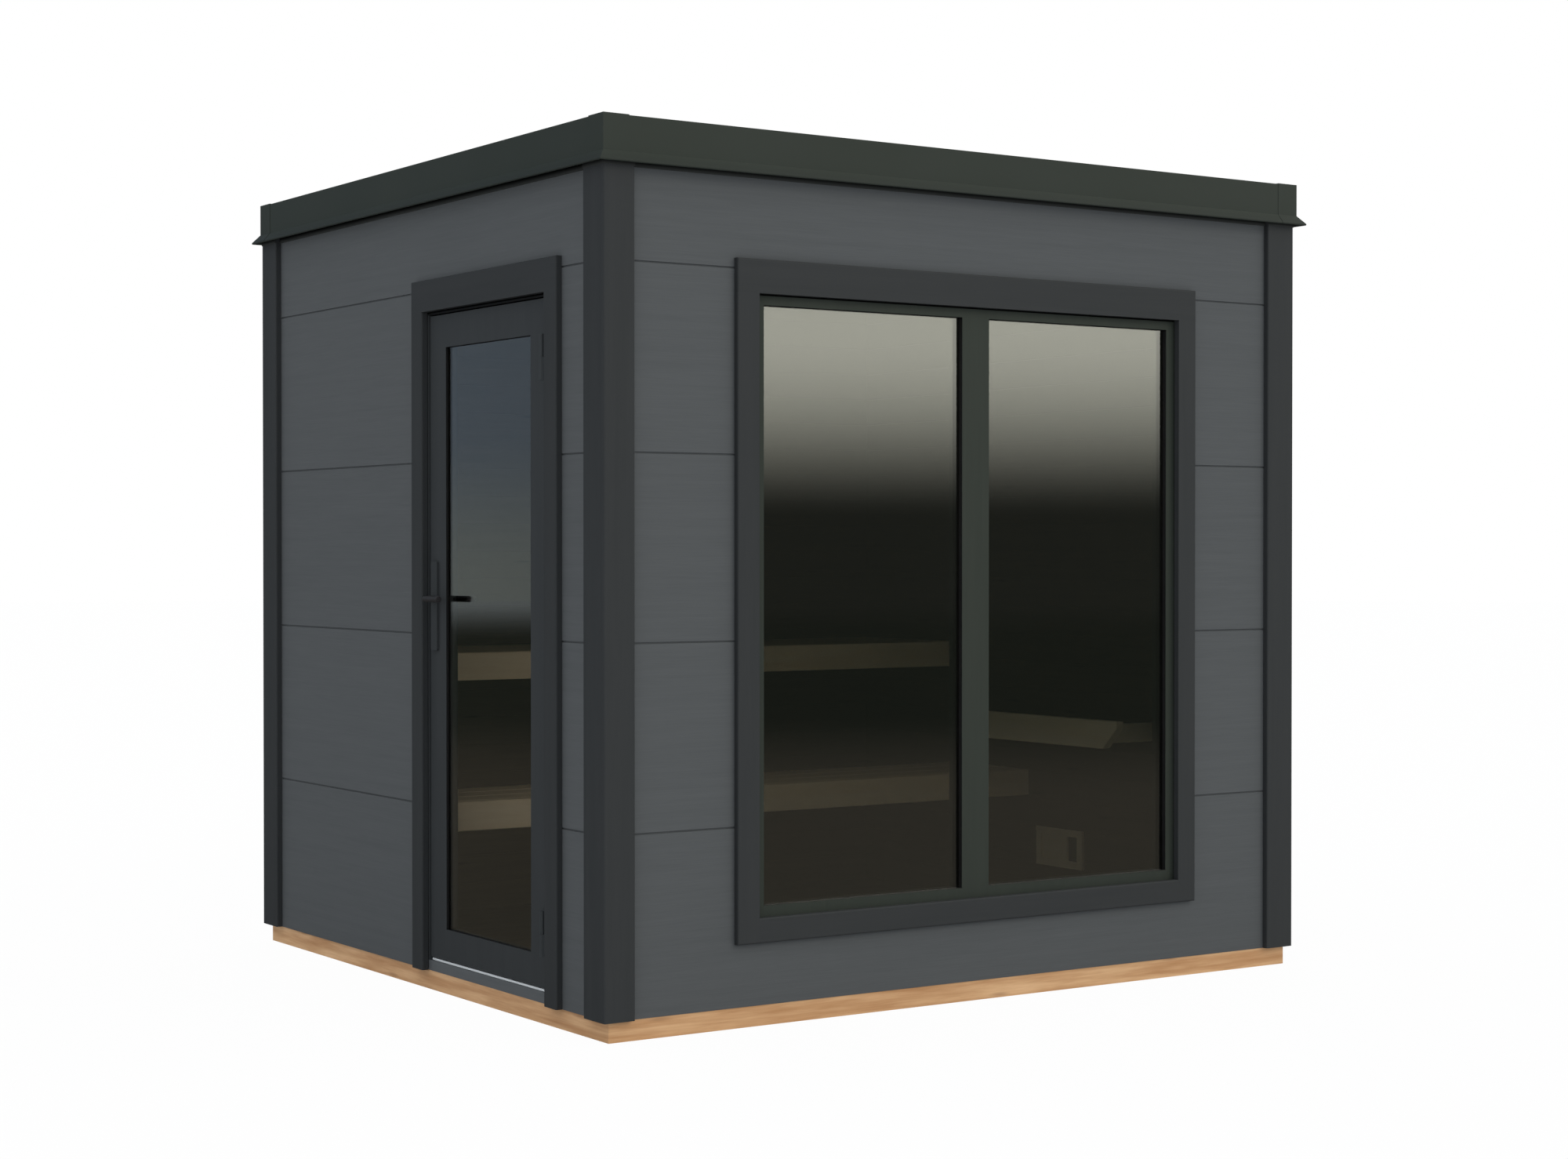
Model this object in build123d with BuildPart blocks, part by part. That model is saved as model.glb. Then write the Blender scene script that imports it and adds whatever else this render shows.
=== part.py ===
import os

from build123d import *

os.makedirs("parts", exist_ok=True)

# Garden sauna: a timber box on a beam base, a glazed door in the left wall, a two-pane window in the front.
# X runs along the window front, Y to the back, Z up. The origin is under the middle of the base.

# Timber base and floor
base_height = 56
base_end_inset = 5
base_side_inset = 2
base_beam_width = 88
joist_width = 45
joist_count = 3
floor_thickness = 28

# Walls, outside to outside, with a groove between the panel courses
wall_length = 2426
wall_width = 2211
wall_height = 2260
wall_thickness = 93
first_course_height = 485
course_height = 499.5
course_line_count = 4
groove_height = 5
groove_depth = 4

# Corner posts, each an angle of two boards
board_thickness = 19
right_board_thickness = 13
post_board_width = 93
post_seam = 2

# Flat roof and its metal edge
roof_deck_thickness = 78
membrane_thickness = 4
kerb_width = 48
fascia_rise = 19
fascia_projection = 22
drip_projection = 43
drip_drop = 27
drip_nose = 5
nose_radius = 2.4
flare_height = 25
sheet_thickness = 2
cap_width = 78
cap_proud = 1
cap_rise = 2

# Window: margins of the trim opening on the front wall, frame behind it and two panes beside a mullion
window_left_margin = 462
window_right_margin = 460
window_sill_margin = 238
window_head_margin = 342
window_side_trim_width = 69
window_bottom_trim_width = 68
head_trim_width = 92
window_reveal = 29
window_frame_overlap = 35
window_frame_recess = 5
window_frame_depth = 76
window_lip = 14
mullion_width = 96
pane_count = 2
window_glass_thickness = 24
glass_bite = 12
glass_clearance = 2

# Doorway: trim opening in the left wall, frame with a rebate, threshold
door_near_margin = 309
door_trim_opening = 738
door_head_margin = 338
door_trim_width = 70
door_reveal = 7
door_jamb_overlap = 26
door_head_overlap = 61
door_frame_recess = 2
door_face_recess = 3
door_stop_width = 13
threshold_height = 30
strip_thickness = 6
strip_depth = 34
strip_recess = 8

# Door leaf, hung on the side by the near corner and opening outwards
leaf_thickness = 38
leaf_gap = 6
leaf_latch_gap = 8
stile_width = 98
top_rail_height = 95
bottom_rail_height = 89
leaf_glass_thickness = 8
leaf_lip = 8

# Lift-off hinges: the lower half with its pin on the frame, the upper half on the leaf
hinge_axis_out = 18
hinge_axis_in = 2
knuckle_radius = 7.4
knuckle_height = 62
knuckle_gap = 0.5
hinge_foot_inset = 151
hinge_head_inset = 161
hinge_plate_thickness = 3
hinge_web = 4
leaf_plate_width = 30
pin_radius = 4
pin_clearance = 0.3
pin_length = 30

# Lever handle on long plates, one lever each side on one spindle
lever_height = 1087
lever_backset = 33
plate_width = 40
plate_above = 109
plate_below = 150
plate_thickness = 7
plate_corner = 6
lever_radius = 9
lever_standoff = 33
lever_reach = 99
lever_bend = 14
lever_tip = 3
spindle_radius = 5
spindle_clearance = 0.3

# Two benches along the back wall
bench_board_thickness = 28
bench_board_height = 88
slat_thickness = 26
slat_gap = 12
carrier_width = 45
carrier_count = 3
upper_bench_depth = 565
upper_bench_top = 904
upper_slat_count = 4
lower_bench_step = 400
lower_bench_overlap = 12
lower_bench_top = 474
lower_slat_count = 3

# Guard rail round the place of the heater, by the right wall
guard_reach = 330
guard_near = 320
guard_bottom = 606
guard_board_height = 88
guard_board_thickness = 28
guard_end_slope = 66
guard_post_width = 45
cross_rail_setback = 73
cross_rail_height = 58

# Air vent with a sliding cover, low on the right wall
vent_near_margin = 980
vent_middle = 220
vent_width = 240
vent_height = 130
vent_thickness = 14
vent_hole_width = 188
vent_hole_height = 84
vent_cover_width = 130
vent_cover_thickness = 8
vent_recess = 40

# Places that follow from the sizes
half_length = wall_length / 2
half_width = wall_width / 2
wall_top = base_height + wall_height
roof_top = wall_top + roof_deck_thickness
fascia_top = roof_top + fascia_rise
drip_bottom = wall_top - drip_drop
room_length = wall_length - 2 * wall_thickness
room_width = wall_width - 2 * wall_thickness
room_right = room_length / 2
course_lines = [base_height + first_course_height + n * course_height for n in range(course_line_count)]

front_face = Plane.XZ.offset(half_width)
back_face = Plane.XZ.offset(-half_width)
left_face = Plane.YZ.offset(-half_length)
right_face = Plane.YZ.offset(half_length)


def keep(piece, name):
    piece.part.label = name
    export_step(piece.part, f"parts/{name}.step")


def block(x_span, y_span, z_span):
    with BuildPart() as made:
        with BuildSketch(Plane.XY.offset(z_span[0])):
            with Locations(((x_span[0] + x_span[1]) / 2, (y_span[0] + y_span[1]) / 2)):
                Rectangle(x_span[1] - x_span[0], y_span[1] - y_span[0])
        extrude(amount=z_span[1] - z_span[0])
    return made


# Base: a ring of beams set a little back from the walls, with joists between and the floor let in flush
base_length = wall_length - 2 * base_end_inset
base_width = wall_width - 2 * base_side_inset
inner_length = base_length - 2 * base_beam_width
inner_width = base_width - 2 * base_beam_width
joist_pitch = inner_length / (joist_count + 1)
with BuildPart() as base_frame:
    with BuildSketch():
        Rectangle(base_length, base_width)
        Rectangle(inner_length, inner_width, mode=Mode.SUBTRACT)
    extrude(amount=base_height)
    with BuildSketch():
        with GridLocations(joist_pitch, 0, joist_count, 1):
            Rectangle(joist_width, inner_width)
    extrude(amount=base_height - floor_thickness)
keep(base_frame, "base_frame")

with BuildPart() as floor_deck:
    with BuildSketch(Plane.XY.offset(base_height - floor_thickness)):
        Rectangle(inner_length, inner_width)
    extrude(amount=floor_thickness)
keep(floor_deck, "floor_deck")


# Walls: panels with a groove on each course line, on the outside only
def wall(face, inward, run, rise, opening=None):
    middle = (run[0] + run[1]) / 2
    with BuildPart() as made:
        with BuildSketch(face):
            with Locations((middle, (rise[0] + rise[1]) / 2)):
                Rectangle(run[1] - run[0], rise[1] - rise[0])
            if opening:
                with Locations(opening[0]):
                    Rectangle(*opening[1], mode=Mode.SUBTRACT)
        extrude(amount=inward * wall_thickness)
        for line in course_lines:
            if rise[0] - groove_height < line < rise[1] + groove_height:
                with BuildSketch(face):
                    with Locations((middle, line)):
                        Rectangle(run[1] - run[0], groove_height)
                extrude(amount=inward * groove_depth, mode=Mode.SUBTRACT)
    return made


# Window places, in the front wall
window_trim_opening = wall_length - window_left_margin - window_right_margin
window_trim_clear_height = wall_height - window_sill_margin - window_head_margin
window_x = -half_length + window_left_margin + window_trim_opening / 2
window_z = base_height + window_sill_margin + window_trim_clear_height / 2
window_frame_width = window_trim_opening + 2 * window_frame_overlap
window_frame_height = window_trim_clear_height + 2 * window_frame_overlap
full_run = (-half_length, half_length)
side_run = (-room_width / 2, room_width / 2)
full_rise = (base_height, wall_top)

front_wall = wall(
    front_face,
    -1,
    full_run,
    full_rise,
    ((window_x, window_z), (window_frame_width, window_frame_height)),
)
keep(front_wall, "front_wall")
back_wall = wall(back_face, 1, full_run, full_rise)
keep(back_wall, "back_wall")

# The vent sits over a shallow recess in the right wall
vent_y = -half_width + vent_near_margin
vent_z = base_height + vent_middle
vent_plane = Plane(origin=(room_right, vent_y, vent_z), x_dir=(0, -1, 0), z_dir=(-1, 0, 0))
plain_right_wall = wall(right_face, -1, side_run, full_rise)
with BuildPart() as right_wall:
    add(plain_right_wall.part)
    with BuildSketch(vent_plane):
        Rectangle(vent_hole_width, vent_hole_height)
    extrude(amount=-vent_recess, mode=Mode.SUBTRACT)
keep(right_wall, "right_wall")

# Door places, in the left wall
door_y = -half_width + door_near_margin + door_trim_opening / 2
door_trim_clear_height = wall_height - door_head_margin
door_inner_width = door_trim_opening - 2 * door_reveal
door_outer_width = door_trim_opening + 2 * door_jamb_overlap
door_inner_top = base_height + door_trim_clear_height - door_reveal
door_outer_top = base_height + door_trim_clear_height + door_head_overlap
door_near = door_y - door_outer_width / 2
door_far = door_y + door_outer_width / 2

left_wall_front = wall(left_face, 1, (side_run[0], door_near), (base_height, door_outer_top))
keep(left_wall_front, "left_wall_front")
left_wall_back = wall(left_face, 1, (door_far, side_run[1]), (base_height, door_outer_top))
keep(left_wall_back, "left_wall_back")
left_wall_over_door = wall(left_face, 1, side_run, (door_outer_top, wall_top))
keep(left_wall_over_door, "left_wall_over_door")


# Corner posts: one board laps the edge of the other, and a fine seam shows between them
def corner_post(side, depth, front_laps, side_thickness):
    x_lap = side_thickness if front_laps else 0
    y_lap = 0 if front_laps else board_thickness
    with BuildPart() as made:
        with BuildSketch(Plane.XY.offset(base_height)):
            with Locations(
                (
                    side * (half_length + x_lap - post_board_width / 2),
                    depth * (half_width + board_thickness / 2),
                )
            ):
                Rectangle(post_board_width, board_thickness)
            with Locations(
                (
                    side * (half_length + side_thickness / 2),
                    depth * (half_width + y_lap - post_board_width / 2),
                )
            ):
                Rectangle(side_thickness, post_board_width)
            with Locations((side * (half_length + x_lap), depth * (half_width + y_lap))):
                Rectangle(post_seam, post_seam, mode=Mode.SUBTRACT)
        extrude(amount=wall_height)
    return made


corner_post_front_left = corner_post(-1, -1, True, board_thickness)
keep(corner_post_front_left, "corner_post_front_left")
corner_post_front_right = corner_post(1, -1, False, right_board_thickness)
keep(corner_post_front_right, "corner_post_front_right")
corner_post_back_left = corner_post(-1, 1, True, board_thickness)
keep(corner_post_back_left, "corner_post_back_left")
corner_post_back_right = corner_post(1, 1, False, right_board_thickness)
keep(corner_post_back_right, "corner_post_back_right")

# Roof deck on the walls, with the membrane inside the kerb
with BuildPart() as roof_deck:
    with BuildSketch(Plane.XY.offset(wall_top)):
        Rectangle(wall_length, wall_width)
    extrude(amount=roof_deck_thickness)
keep(roof_deck, "roof_deck")

with BuildPart() as roof_membrane:
    with BuildSketch(Plane.XY.offset(roof_top)):
        Rectangle(wall_length - 2 * kerb_width, wall_width - 2 * kerb_width)
    extrude(amount=membrane_thickness)
keep(roof_membrane, "roof_membrane")


# Roof edge section: x is outwards from the wall face and y is up, with a flared, round-nosed drip below
def edge_outline(proud, rise):
    face = fascia_projection + proud
    tip = drip_projection + proud
    return (
        (0, wall_top),
        (face - sheet_thickness, wall_top),
        (tip - drip_nose, drip_bottom),
        (tip, drip_bottom),
        (tip, drip_bottom + drip_nose),
        (face, drip_bottom + drip_nose + flare_height),
        (face, fascia_top + rise),
        (-kerb_width, fascia_top + rise),
        (-kerb_width, roof_top),
        (0, roof_top),
    )


# Straight runs stop at the corner caps, which are a little higher and prouder
cap_leg = cap_width - fascia_projection - cap_proud


def fascia(outward, reach, run):
    out = Vector(outward)
    section_plane = Plane(origin=out * reach, x_dir=out, z_dir=out.cross(Vector(0, 0, 1)))
    with BuildPart() as made:
        with BuildSketch(section_plane) as section:
            with BuildLine():
                Polyline(*edge_outline(0, 0), close=True)
            make_face()
            fillet(section.vertices().group_by(Axis.X)[-1], radius=nose_radius)
        extrude(amount=run / 2, both=True)
    return made


long_run = wall_length - 2 * cap_leg
short_run = wall_width - 2 * cap_leg
fascia_front = fascia((0, -1, 0), half_width, long_run)
keep(fascia_front, "fascia_front")
fascia_back = fascia((0, 1, 0), half_width, long_run)
keep(fascia_back, "fascia_back")
fascia_left = fascia((-1, 0, 0), half_length, short_run)
keep(fascia_left, "fascia_left")
fascia_right = fascia((1, 0, 0), half_length, short_run)
keep(fascia_right, "fascia_right")

# One mitred cap is swept round its corner and mirrored to the other three
cap_start = (half_length - cap_leg, half_width, 0)
with BuildPart() as fascia_corner_caps:
    with BuildLine() as cap_path:
        Polyline(cap_start, (half_length, half_width, 0), (half_length, half_width - cap_leg, 0))
    with BuildSketch(Plane(origin=cap_start, x_dir=(0, 1, 0), z_dir=(1, 0, 0))) as cap_section:
        with BuildLine():
            Polyline(*edge_outline(cap_proud, cap_rise), close=True)
        make_face()
        fillet(cap_section.vertices().group_by(Axis.X)[-1], radius=nose_radius)
    sweep(path=cap_path.wire(), transition=Transition.RIGHT)
    mirror(about=Plane.YZ)
    mirror(about=Plane.XZ)
keep(fascia_corner_caps, "fascia_corner_caps")

# Window frame with a groove that holds both panes
pane_width = (window_trim_opening - 2 * window_reveal - mullion_width) / pane_count
pane_height = window_trim_clear_height - 2 * window_reveal
pane_pitch = pane_width + mullion_width
window_plane = Plane(
    origin=(window_x, -half_width + window_frame_recess, window_z),
    x_dir=(1, 0, 0),
    z_dir=(0, -1, 0),
)
pane_plane = window_plane.offset(-window_lip)
with BuildPart() as window_frame:
    with BuildSketch(window_plane):
        Rectangle(window_frame_width, window_frame_height)
        with GridLocations(pane_pitch, 0, pane_count, 1):
            Rectangle(pane_width, pane_height, mode=Mode.SUBTRACT)
    extrude(amount=-window_frame_depth)
    with BuildSketch(pane_plane):
        with GridLocations(pane_pitch, 0, pane_count, 1):
            Rectangle(pane_width + 2 * glass_bite, pane_height + 2 * glass_bite)
    extrude(amount=-window_glass_thickness, mode=Mode.SUBTRACT)
keep(window_frame, "window_frame")


def window_pane(side):
    cover = 2 * (glass_bite - glass_clearance)
    with BuildPart() as made:
        with BuildSketch(pane_plane):
            with Locations((side * pane_pitch / 2, 0)):
                Rectangle(pane_width + cover, pane_height + cover)
        extrude(amount=-window_glass_thickness)
    return made


window_glass_left = window_pane(-1)
keep(window_glass_left, "window_glass_left")
window_glass_right = window_pane(1)
keep(window_glass_right, "window_glass_right")

# Window trim: the head board over both side boards, the bottom board between them
trim_left = window_x - window_trim_opening / 2
trim_right = window_x + window_trim_opening / 2
trim_sill = window_z - window_trim_clear_height / 2
trim_head = window_z + window_trim_clear_height / 2
trim_foot = trim_sill - window_bottom_trim_width
front_proud = (-half_width - board_thickness, -half_width)
window_trim_left = block((trim_left - window_side_trim_width, trim_left), front_proud, (trim_foot, trim_head))
keep(window_trim_left, "window_trim_left")
window_trim_right = block(
    (trim_right, trim_right + window_side_trim_width), front_proud, (trim_foot, trim_head)
)
keep(window_trim_right, "window_trim_right")
window_trim_bottom = block((trim_left, trim_right), front_proud, (trim_foot, trim_sill))
keep(window_trim_bottom, "window_trim_bottom")
window_trim_top = block(
    (trim_left - window_side_trim_width, trim_right + window_side_trim_width),
    front_proud,
    (trim_head, trim_head + head_trim_width),
)
keep(window_trim_top, "window_trim_top")

# Door frame: jambs and head in one, standing on the threshold, with a stop behind the leaf
door_face = -half_length + door_face_recess
leaf_back = door_face + leaf_thickness
room_left = -half_length + wall_thickness
threshold_top = base_height + threshold_height
door_frame_plane = Plane.YZ.offset(-half_length + door_frame_recess)
door_stop_plane = Plane.YZ.offset(leaf_back + leaf_gap)
with BuildPart() as door_frame:
    with BuildSketch(door_frame_plane):
        with Locations((door_y, (threshold_top + door_outer_top) / 2)):
            Rectangle(door_outer_width, door_outer_top - threshold_top)
        with Locations((door_y, (threshold_top + door_inner_top) / 2)):
            Rectangle(door_inner_width, door_inner_top - threshold_top, mode=Mode.SUBTRACT)
    extrude(amount=wall_thickness - door_frame_recess)
    with BuildSketch(door_stop_plane):
        with Locations((door_y, (threshold_top + door_inner_top) / 2)):
            Rectangle(door_inner_width, door_inner_top - threshold_top)
        with Locations((door_y, (threshold_top + door_inner_top - door_stop_width) / 2)):
            Rectangle(
                door_inner_width - 2 * door_stop_width,
                door_inner_top - threshold_top - door_stop_width,
                mode=Mode.SUBTRACT,
            )
    extrude(amount=room_left - leaf_back - leaf_gap)
keep(door_frame, "door_frame")

inner_run = (door_y - door_inner_width / 2, door_y + door_inner_width / 2)
door_threshold = block((door_face, room_left), (door_near, door_far), (base_height, threshold_top))
keep(door_threshold, "door_threshold")
strip_front = door_face + strip_recess
threshold_strip = block(
    (strip_front, strip_front + strip_depth), inner_run, (threshold_top, threshold_top + strip_thickness)
)
keep(threshold_strip, "threshold_strip")

# Door trim: the head board over both side boards
left_proud = (-half_length - board_thickness, -half_length)
trim_near = door_y - door_trim_opening / 2
trim_far = door_y + door_trim_opening / 2
door_trim_top_edge = base_height + door_trim_clear_height
door_trim_rise = (base_height, door_trim_top_edge)
door_trim_hinge_side = block(left_proud, (trim_near - door_trim_width, trim_near), door_trim_rise)
keep(door_trim_hinge_side, "door_trim_hinge_side")
door_trim_latch_side = block(left_proud, (trim_far, trim_far + door_trim_width), door_trim_rise)
keep(door_trim_latch_side, "door_trim_latch_side")
door_trim_top = block(
    left_proud,
    (trim_near - door_trim_width, trim_far + door_trim_width),
    (door_trim_top_edge, door_trim_top_edge + head_trim_width),
)
keep(door_trim_top, "door_trim_top")

# Door leaf: stiles and rails round one pane, bored for the spindle
leaf_near = inner_run[0] + leaf_gap
leaf_far = inner_run[1] - leaf_latch_gap
leaf_bottom = threshold_top + strip_thickness + leaf_gap
leaf_top = door_inner_top - leaf_gap
leaf_width = leaf_far - leaf_near
leaf_glass_width = leaf_width - 2 * stile_width
leaf_glass_bottom = leaf_bottom + bottom_rail_height
leaf_glass_height = leaf_top - top_rail_height - leaf_glass_bottom
leaf_middle = ((leaf_near + leaf_far) / 2, (leaf_bottom + leaf_top) / 2)
leaf_glass_middle = (leaf_middle[0], leaf_glass_bottom + leaf_glass_height / 2)
leaf_plane = Plane.YZ.offset(door_face)
leaf_pane_plane = Plane.YZ.offset(door_face + leaf_lip)
spindle_y = leaf_far - lever_backset
spindle_z = base_height + lever_height
with BuildPart() as door_leaf:
    with BuildSketch(leaf_plane):
        with Locations(leaf_middle):
            Rectangle(leaf_width, leaf_top - leaf_bottom)
        with Locations(leaf_glass_middle):
            Rectangle(leaf_glass_width, leaf_glass_height, mode=Mode.SUBTRACT)
        with Locations((spindle_y, spindle_z)):
            Circle(spindle_radius + spindle_clearance, mode=Mode.SUBTRACT)
    extrude(amount=leaf_thickness)
    with BuildSketch(leaf_pane_plane):
        with Locations(leaf_glass_middle):
            Rectangle(leaf_glass_width + 2 * glass_bite, leaf_glass_height + 2 * glass_bite)
    extrude(amount=leaf_glass_thickness, mode=Mode.SUBTRACT)
keep(door_leaf, "door_leaf")

leaf_cover = 2 * (glass_bite - glass_clearance)
with BuildPart() as door_glass:
    with BuildSketch(leaf_pane_plane):
        with Locations(leaf_glass_middle):
            Rectangle(leaf_glass_width + leaf_cover, leaf_glass_height + leaf_cover)
    extrude(amount=leaf_glass_thickness)
keep(door_glass, "door_glass")

# Hinges: the axis stands out from the leaf, just inside its edge. The lower half is a bent strip
# with its leg on the jamb, the upper half has a plate on the face of the leaf
hinge_x = door_face - hinge_axis_out
hinge_y = leaf_near + hinge_axis_in
hinge_heights = (leaf_bottom + hinge_foot_inset, leaf_top - hinge_head_inset)
jamb_leg = hinge_axis_out + door_frame_recess - door_face_recess + hinge_web / 2
jamb_arm = hinge_y - inner_run[0] + door_reveal / 2 + hinge_web / 2
with BuildPart() as hinge_frame_halves:
    for height in hinge_heights:
        low_end = height - knuckle_height - knuckle_gap / 2
        with BuildSketch(Plane((hinge_x, hinge_y, low_end))):
            Circle(knuckle_radius)
            with Locations((0, -jamb_arm / 2)):
                Rectangle(hinge_web, jamb_arm)
            with Locations((jamb_leg / 2 - hinge_web / 2, -jamb_arm + hinge_web / 2)):
                Rectangle(jamb_leg, hinge_web)
        extrude(amount=knuckle_height)
        with BuildSketch(Plane((hinge_x, hinge_y, low_end + knuckle_height))):
            Circle(pin_radius)
        extrude(amount=pin_length)
keep(hinge_frame_halves, "hinge_frame_halves")

leaf_plate_x = hinge_axis_out - hinge_plate_thickness / 2
leaf_plate_y = leaf_plate_width / 2 - hinge_axis_in
with BuildPart() as hinge_leaf_halves:
    for height in hinge_heights:
        low_end = height + knuckle_gap / 2
        with BuildSketch(Plane((hinge_x, hinge_y, low_end))):
            Circle(knuckle_radius)
            with Locations((hinge_axis_out / 2, knuckle_radius - hinge_web / 2)):
                Rectangle(hinge_axis_out, hinge_web)
            with Locations((leaf_plate_x, leaf_plate_y)):
                Rectangle(hinge_plate_thickness, leaf_plate_width)
        extrude(amount=knuckle_height)
        with BuildSketch(Plane((hinge_x, hinge_y, low_end))):
            Circle(pin_radius + pin_clearance)
        extrude(amount=pin_length, mode=Mode.SUBTRACT)
keep(hinge_leaf_halves, "hinge_leaf_halves")

# Handle: a long plate on each face of the leaf, and a pair of levers on one spindle
plate_z = spindle_z + (plate_above - plate_below) / 2
neck_radius = lever_radius
leaf_centre = Plane.YZ.offset(door_face + leaf_thickness / 2)
with BuildPart() as handle_plates:
    with BuildSketch(leaf_plane):
        with Locations((spindle_y, plate_z)):
            RectangleRounded(plate_width, plate_above + plate_below, plate_corner)
        with Locations((spindle_y, spindle_z)):
            Circle(neck_radius + spindle_clearance, mode=Mode.SUBTRACT)
    extrude(amount=-plate_thickness)
    mirror(about=leaf_centre)
keep(handle_plates, "handle_plates")

arm_x = door_face - plate_thickness - lever_standoff
with BuildPart() as door_lever:
    with BuildLine(Plane.XY.offset(spindle_z)) as lever_path:
        FilletPolyline(
            (door_face, spindle_y),
            (arm_x, spindle_y),
            (arm_x, spindle_y - lever_reach),
            radius=lever_bend,
        )
    with BuildSketch(Plane(origin=(door_face, spindle_y, spindle_z), z_dir=(-1, 0, 0))):
        Circle(lever_radius)
    sweep(path=lever_path.wire())
    fillet(door_lever.edges().group_by(Axis.Y)[0], radius=lever_tip)
    mirror(about=leaf_centre)
    with BuildSketch(leaf_plane):
        with Locations((spindle_y, spindle_z)):
            Circle(spindle_radius)
    extrude(amount=leaf_thickness)
keep(door_lever, "door_lever")


# Benches from wall to wall: a front board, carriers from front to back and slats over them
def bench(front, depth, top, slats):
    underside = top - bench_board_height
    carrier_run = depth - bench_board_thickness
    slat_pitch = carrier_run / slats
    slat_middle = front + bench_board_thickness + (carrier_run + slat_gap) / 2
    with BuildPart() as made:
        with BuildSketch(Plane.XY.offset(underside)):
            with Locations((0, front + bench_board_thickness / 2)):
                Rectangle(room_length, bench_board_thickness)
        extrude(amount=bench_board_height)
        with BuildSketch(Plane.XY.offset(underside)):
            with Locations((0, front + bench_board_thickness + carrier_run / 2)):
                with GridLocations((room_length - carrier_width) / (carrier_count - 1), 0, carrier_count, 1):
                    Rectangle(carrier_width, carrier_run)
        extrude(amount=bench_board_height - slat_thickness)
        with BuildSketch(Plane.XY.offset(top - slat_thickness)):
            with Locations((0, slat_middle)):
                with GridLocations(0, slat_pitch, 1, slats):
                    Rectangle(room_length, slat_pitch - slat_gap)
        extrude(amount=slat_thickness)
    return made


upper_front = room_width / 2 - upper_bench_depth
lower_front = upper_front - lower_bench_step
lower_bench_depth = lower_bench_step + lower_bench_overlap
upper_bench = bench(upper_front, upper_bench_depth, base_height + upper_bench_top, upper_slat_count)
keep(upper_bench, "upper_bench")
lower_bench = bench(lower_front, lower_bench_depth, base_height + lower_bench_top, lower_slat_count)
keep(lower_bench, "lower_bench")

# Heater guard: a side rail with a sloped end, a cross rail to the wall and a post by the lower bench
guard_x = room_right - guard_reach
guard_y = -half_width + guard_near
guard_z = base_height + guard_bottom
guard_run = lower_front - guard_y
cross_rail_y = guard_y + cross_rail_setback
cross_rail_z = guard_z + (guard_board_height - cross_rail_height) / 2
with BuildPart() as heater_guard:
    with BuildSketch(Plane.YZ.offset(guard_x)) as rail_side:
        with Locations((guard_y + guard_run / 2, guard_z + guard_board_height / 2)):
            Rectangle(guard_run, guard_board_height)
        chamfer(rail_side.vertices().group_by(Axis.X)[0].sort_by(Axis.Y)[0], length=guard_end_slope)
    extrude(amount=guard_board_thickness)
    with BuildSketch(Plane.XY.offset(cross_rail_z)):
        with Locations(
            (
                (guard_x + guard_board_thickness + room_right) / 2,
                cross_rail_y + guard_board_thickness / 2,
            )
        ):
            Rectangle(guard_reach - guard_board_thickness, guard_board_thickness)
    extrude(amount=cross_rail_height)
    with BuildSketch(Plane.XY.offset(base_height)):
        with Locations((guard_x + guard_post_width / 2, lower_front - guard_post_width / 2)):
            Rectangle(guard_post_width, guard_post_width)
    extrude(amount=guard_bottom)
keep(heater_guard, "heater_guard")

# Air vent: a frame on the inside of the right wall, with the cover slid aside from part of its hole
with BuildPart() as air_vent:
    with BuildSketch(vent_plane):
        Rectangle(vent_width, vent_height)
        Rectangle(vent_hole_width, vent_hole_height, mode=Mode.SUBTRACT)
    extrude(amount=vent_thickness)
    with BuildSketch(vent_plane):
        with Locations(((vent_cover_width - vent_hole_width) / 2, 0)):
            Rectangle(vent_cover_width, vent_hole_height)
    extrude(amount=vent_cover_thickness)
keep(air_vent, "air_vent")
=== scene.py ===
import math

import bmesh
import bpy
from mathutils import Matrix, Vector


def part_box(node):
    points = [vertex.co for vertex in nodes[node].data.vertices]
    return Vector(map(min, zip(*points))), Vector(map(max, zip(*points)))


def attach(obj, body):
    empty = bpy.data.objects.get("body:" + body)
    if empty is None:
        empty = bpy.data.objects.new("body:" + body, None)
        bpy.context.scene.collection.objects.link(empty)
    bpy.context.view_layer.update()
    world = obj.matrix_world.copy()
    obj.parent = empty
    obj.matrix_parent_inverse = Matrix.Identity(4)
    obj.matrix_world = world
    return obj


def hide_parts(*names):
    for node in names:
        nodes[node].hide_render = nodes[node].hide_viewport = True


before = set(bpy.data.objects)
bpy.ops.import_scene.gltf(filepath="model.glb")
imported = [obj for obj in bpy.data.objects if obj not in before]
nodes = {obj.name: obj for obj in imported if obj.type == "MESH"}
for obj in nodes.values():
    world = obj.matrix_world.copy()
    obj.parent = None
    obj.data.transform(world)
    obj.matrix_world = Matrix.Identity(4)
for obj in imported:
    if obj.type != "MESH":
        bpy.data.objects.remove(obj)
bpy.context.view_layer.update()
print("garden sauna: frame loaded with", len(nodes), "nodes")

scene = bpy.context.scene
scene.view_settings.view_transform = "Standard"


# Small helpers for node trees

def addNode(tree, kind, **settings):
    node = tree.nodes.new(kind)
    for name, value in settings.items():
        setattr(node, name, value)
    return node


def mathNode(tree, operation, first, second=None, third=None):
    node = addNode(tree, "ShaderNodeMath", operation=operation)
    for place, value in enumerate((first, second, third)):
        if value is None:
            continue
        if isinstance(value, (int, float)):
            node.inputs[place].default_value = value
        else:
            tree.links.new(value, node.inputs[place])
    return node.outputs[0]


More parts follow.
